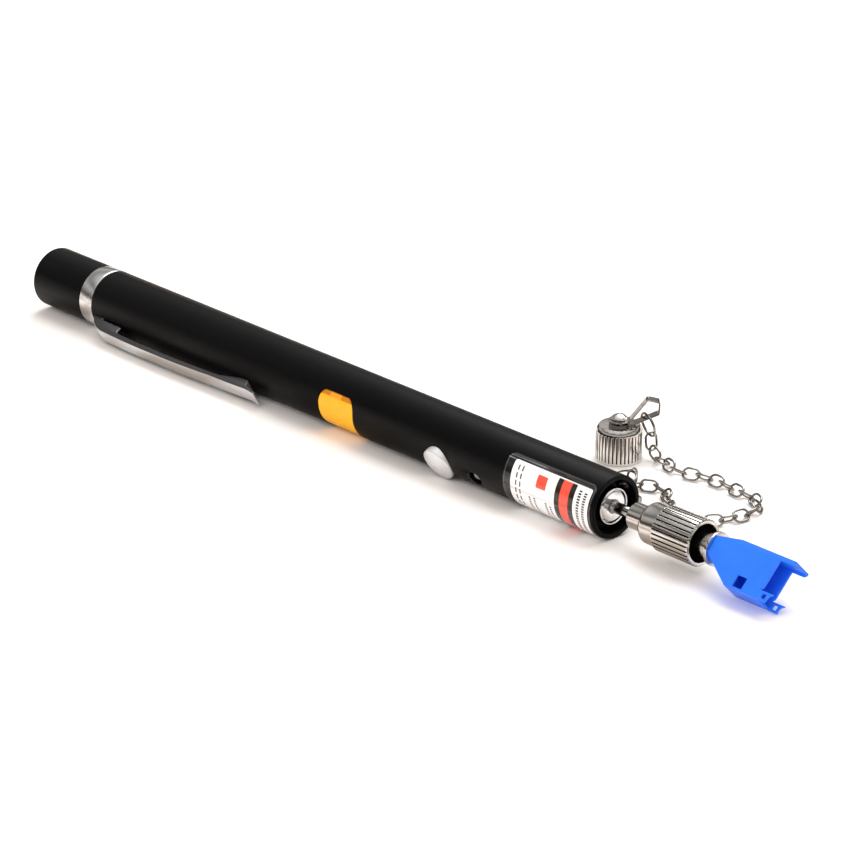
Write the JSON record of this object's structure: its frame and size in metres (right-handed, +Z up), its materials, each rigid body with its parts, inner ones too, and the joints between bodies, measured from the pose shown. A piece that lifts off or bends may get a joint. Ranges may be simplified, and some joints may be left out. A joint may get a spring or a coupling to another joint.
{
  "type": "visual fault locator",
  "caption": "Pen-type visual fault locator with pocket clip, push button, universal fibre port, fitted small-form adapter and tethered dust cap",
  "frame": {"origin": "centre of the mouth of the small-form socket's alignment sleeve, on the pen's axis", "axes": "+X along the pen from the tail cap towards the socket, +Z up with the pen lying on a level surface, +Y to the side on which the chain and the dust cap lie"},
  "size_m": [0.2379, 0.0485, 0.0141],
  "materials": {
    "anodised_black": "matte black anodised aluminium",
    "satin_silver": "satin machined aluminium",
    "clip_steel": "satin stamped spring steel",
    "nickel": "bright nickel plate",
    "amber": "clear amber moulded plastic",
    "black_plastic": "moulded black plastic",
    "board_green": "solder mask on glass fibre board",
    "lamp_clear": "clear moulded lamp",
    "cell_jacket": "plain printed shrink jacket",
    "spring_steel": "nickel plated spring wire",
    "brass": "turned brass",
    "lens_glass": "coated glass",
    "label_film": "glossy printed film",
    "ceramic": "ground zirconia",
    "blue_plastic": "blue moulded plastic"
  },
  "bodies": {
    "pen": {"body_tube": "anodised_black", "window_sleeve": "amber", "button_switch": "black_plastic", "indicator_led": "lamp_clear", "circuit_board": "board_green", "battery_rear": "cell_jacket", "battery_front": "cell_jacket", "front_contact": "black_plastic", "laser_module": "brass", "laser_lens": "lens_glass", "port_holder": "black_plastic", "port_barrel": "nickel", "port_sleeve": "ceramic", "label": "label_film", "swivel_strap": "nickel", "cap_jump_ring": "nickel", "body_jump_ring": "nickel", "chain_links": "nickel"},
    "cap_travel": {"tail_spring": "spring_steel"},
    "tail_end": {"tail_cap": "anodised_black", "tail_ring": "satin_silver"},
    "button": {"push_button": "satin_silver"},
    "clip": {"pocket_clip": "clip_steel"},
    "adapter": {"adapter_ferrule": "ceramic", "adapter_core": "nickel", "socket_housing": "blue_plastic", "socket_sleeve": "ceramic"},
    "nut": {"adapter_nut": "nickel"},
    "cap": {"dust_cap": "nickel", "cap_rivet": "nickel"}
  },
  "joints": [
    {"name": "tail_cap_screw", "type": "slide", "parent": "pen", "child": "cap_travel", "axis": [-1, 0, 0], "range_m": [0, 0.003]},
    {"name": "tail_cap_turn", "type": "hinge", "parent": "cap_travel", "child": "tail_end", "pos_m": [-0.215, 0, 0], "axis": [-1, 0, 0], "range_deg": [0, 1440]},
    {"name": "button_press", "type": "slide", "parent": "pen", "child": "button", "axis": [0, 0.8829, 0.4695], "range_m": [0, 0.0005], "stiffness_N_per_m": 2500},
    {"name": "clip_flex", "type": "hinge", "parent": "pen", "child": "clip", "pos_m": [-0.20638, -0.00556, -0.00296], "axis": [0, 0.4695, -0.8829], "range_deg": [0, 6], "stiffness_Nm_per_rad": 1.5},
    {"name": "adapter_pull", "type": "slide", "parent": "pen", "child": "adapter", "axis": [1, 0, 0], "range_m": [0, 0.013]},
    {"name": "nut_turn", "type": "hinge", "parent": "adapter", "child": "nut", "pos_m": [-0.0245, 0, 0], "axis": [1, 0, 0], "continuous": true},
    {"name": "dust_cap_turn", "type": "hinge", "parent": "pen", "child": "cap", "pos_m": [-0.0726, 0.0311, -0.003], "axis": [0, 0, 1], "continuous": true}
  ],
  "couplings": [
    {"joint": "tail_cap_screw", "follows": "tail_cap_turn", "m_per_rad": 0.00011937}
  ]
}
